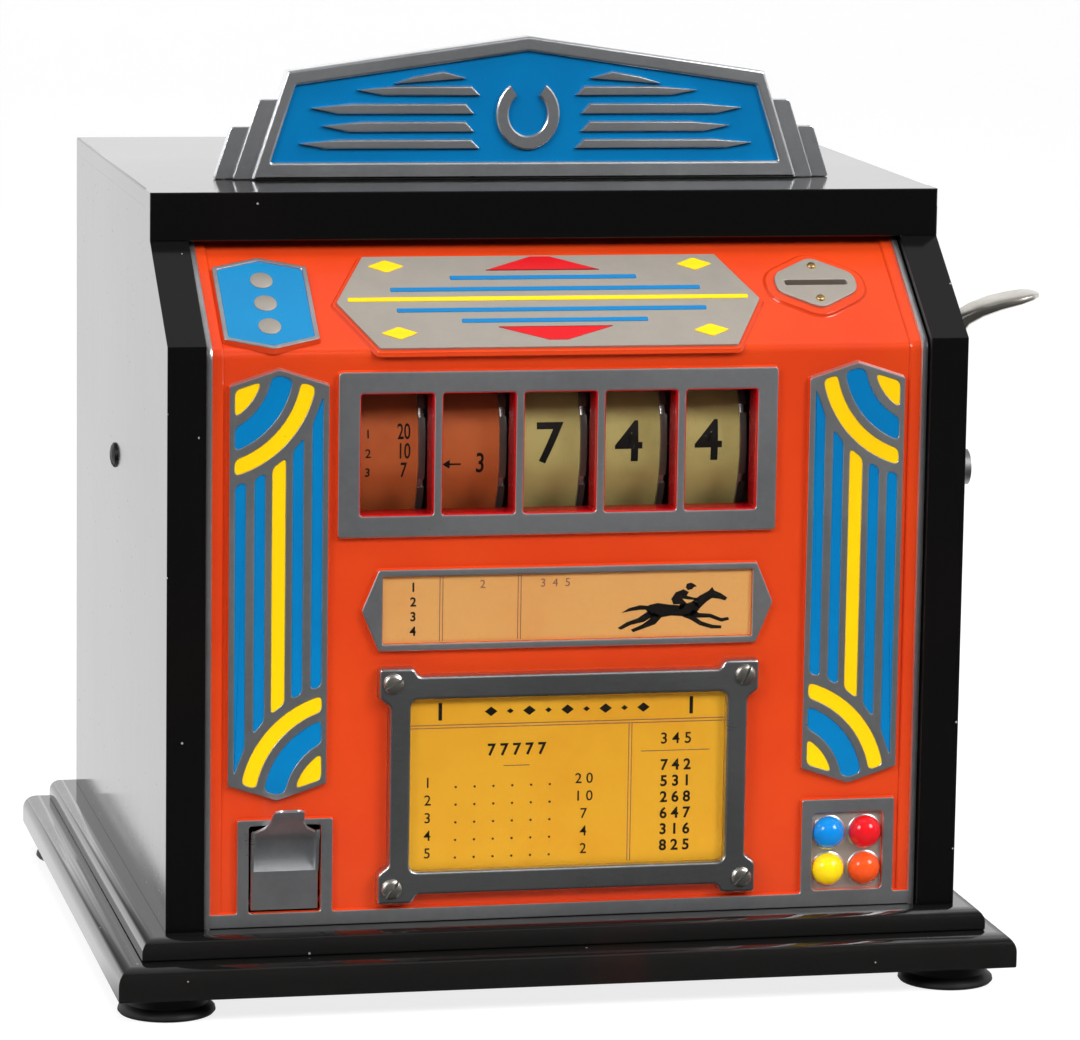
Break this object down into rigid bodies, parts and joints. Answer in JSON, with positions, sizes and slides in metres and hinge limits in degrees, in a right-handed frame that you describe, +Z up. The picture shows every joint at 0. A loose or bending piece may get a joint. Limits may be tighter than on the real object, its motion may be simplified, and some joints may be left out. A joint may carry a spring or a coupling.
{
  "type": "countertop reel race game with gum vender",
  "caption": "Countertop trade stimulator: black lacquered case, enamelled cast front, five reels, side lever, coin slot, gum door and a stepped sign on top.",
  "frame": {"origin": "on the table, under the middle of the case", "axes": "+X to the right seen from the front, -Y out of the front, +Z up"},
  "size_m": [0.3333, 0.276, 0.3214],
  "materials": {
    "black_lacquer": "gloss",
    "rubber": "matte",
    "steel": "satin",
    "plate_steel": "satin",
    "cast_front": "gloss",
    "cast_aluminium": "satin",
    "striped_plate": "satin",
    "brass": "satin",
    "nickel": "polished",
    "orange_card": "matte",
    "glass": "gloss",
    "tinplate": "satin",
    "reel_paper": "matte"
  },
  "bodies": {
    "cabinet": {"base_lower_board": "black_lacquer", "base_upper_board": "black_lacquer", "rubber_feet": "rubber", "wood_screws": "steel", "side_panel_left": "black_lacquer", "side_panel_right": "black_lacquer", "top_board": "black_lacquer", "header_rail": "black_lacquer", "door_hinge_fixed": "brass", "front_casting": "cast_front", "stripe_plate": "striped_plate", "coin_plate": "nickel", "coin_plate_screws": "brass", "card_frame": "cast_aluminium", "card_frame_screws": "nickel", "rules_card": "orange_card", "card_glass": "glass", "odds_card": "orange_card", "odds_cover": "glass", "reel_glass": "glass", "gum_door_pin": "steel", "marquee": "cast_aluminium", "mech_plate_left": "plate_steel", "mech_plate_right": "plate_steel", "cross_rods": "steel", "reel_shaft": "steel", "lever_bush": "brass", "lever_spring": "steel", "gum_hopper": "tinplate", "gum_chute": "tinplate", "coin_chute": "tinplate"},
    "lever": {"lever_handle": "nickel", "lever_shaft": "steel", "drive_gear": "steel"},
    "reel_1": {"reel_drum_1": "tinplate", "reel_strip_1": "reel_paper"},
    "reel_2": {"reel_drum_2": "tinplate", "reel_strip_2": "reel_paper"},
    "reel_3": {"reel_drum_3": "tinplate", "reel_strip_3": "reel_paper"},
    "reel_4": {"reel_drum_4": "tinplate", "reel_strip_4": "reel_paper"},
    "reel_5": {"reel_drum_5": "tinplate", "reel_strip_5": "reel_paper"},
    "finger_1": {"stop_finger_1": "steel"},
    "finger_2": {"stop_finger_2": "steel"},
    "finger_3": {"stop_finger_3": "steel"},
    "finger_4": {"stop_finger_4": "steel"},
    "finger_5": {"stop_finger_5": "steel"},
    "bail": {"kicker_bail": "steel"},
    "link": {"gum_rod": "steel"},
    "wheel": {"gum_wheel": "cast_aluminium"},
    "scoop": {"gum_door": "cast_aluminium"},
    "door": {"back_door": "black_lacquer", "door_hinge_moving": "brass", "door_lock": "brass"},
    "cam": {"lock_cam": "brass"},
    "box": {"cash_box": "tinplate"}
  },
  "joints": [
    {"name": "lever", "type": "hinge", "parent": "cabinet", "child": "lever", "pos_m": [0.137, -0.063, 0.172], "axis": [1, 0, 0], "range_deg": [0, 65], "stiffness_Nm_per_rad": 0.35, "springref_deg": -28.65},
    {"name": "kicker_bail", "type": "hinge", "parent": "cabinet", "child": "bail", "pos_m": [0, -0.02317, 0.13858], "axis": [1, 0, 0], "range_deg": [-65, 0]},
    {"name": "gum_rod", "type": "hinge", "parent": "lever", "child": "link", "pos_m": [0.0655, -0.06543, 0.15821], "axis": [1, 0, 0], "range_deg": [-65, 0]},
    {"name": "gum_wheel", "type": "hinge", "parent": "cabinet", "child": "wheel", "pos_m": [0.08, -0.08, 0.068], "axis": [1, 0, 0], "range_deg": [0, 65]},
    {"name": "reel_1", "type": "hinge", "parent": "cabinet", "child": "reel_1", "pos_m": [-0.0594, -0.0661, 0.188], "axis": [1, 0, 0], "continuous": true},
    {"name": "reel_2", "type": "hinge", "parent": "cabinet", "child": "reel_2", "pos_m": [-0.0316, -0.0661, 0.188], "axis": [1, 0, 0], "continuous": true},
    {"name": "reel_3", "type": "hinge", "parent": "cabinet", "child": "reel_3", "pos_m": [-0.0038, -0.0661, 0.188], "axis": [1, 0, 0], "continuous": true},
    {"name": "reel_4", "type": "hinge", "parent": "cabinet", "child": "reel_4", "pos_m": [0.024, -0.0661, 0.188], "axis": [1, 0, 0], "continuous": true},
    {"name": "reel_5", "type": "hinge", "parent": "cabinet", "child": "reel_5", "pos_m": [0.0518, -0.0661, 0.188], "axis": [1, 0, 0], "continuous": true},
    {"name": "finger_1", "type": "hinge", "parent": "cabinet", "child": "finger_1", "pos_m": [-0.0504, -0.016, 0.214], "axis": [1, 0, 0], "range_deg": [-13, 0]},
    {"name": "finger_2", "type": "hinge", "parent": "cabinet", "child": "finger_2", "pos_m": [-0.0226, -0.016, 0.214], "axis": [1, 0, 0], "range_deg": [-13, 0]},
    {"name": "finger_3", "type": "hinge", "parent": "cabinet", "child": "finger_3", "pos_m": [0.0052, -0.016, 0.214], "axis": [1, 0, 0], "range_deg": [-13, 0]},
    {"name": "finger_4", "type": "hinge", "parent": "cabinet", "child": "finger_4", "pos_m": [0.033, -0.016, 0.214], "axis": [1, 0, 0], "range_deg": [-13, 0]},
    {"name": "finger_5", "type": "hinge", "parent": "cabinet", "child": "finger_5", "pos_m": [0.0608, -0.016, 0.214], "axis": [1, 0, 0], "range_deg": [-13, 0]},
    {"name": "gum_door", "type": "hinge", "parent": "cabinet", "child": "scoop", "pos_m": [-0.0963, -0.1134, 0.0364], "axis": [1, 0, 0], "range_deg": [0, 35], "stiffness_Nm_per_rad": 0.01, "springref_deg": -20.05},
    {"name": "back_door", "type": "hinge", "parent": "cabinet", "child": "door", "pos_m": [0.1236, 0.1229, 0.147], "axis": [0, 0, 1], "range_deg": [-100, 0]},
    {"name": "lock_cam", "type": "hinge", "parent": "door", "child": "cam", "pos_m": [-0.1, 0.115, 0.15], "axis": [0, 1, 0], "range_deg": [0, 90]},
    {"name": "cash_box", "type": "slide", "parent": "cabinet", "child": "box", "axis": [0, 1, 0], "range_m": [0, 0.08]}
  ],
  "couplings": [
    {"joint": "kicker_bail", "follows": "lever", "ratio": -1},
    {"joint": "gum_rod", "follows": "lever", "ratio": -1},
    {"joint": "gum_wheel", "follows": "lever", "ratio": 1},
    {"joint": "finger_1", "follows": "lever", "ratio": -0.2},
    {"joint": "finger_2", "follows": "lever", "ratio": -0.2},
    {"joint": "finger_3", "follows": "lever", "ratio": -0.2},
    {"joint": "finger_4", "follows": "lever", "ratio": -0.2},
    {"joint": "finger_5", "follows": "lever", "ratio": -0.2}
  ]
}
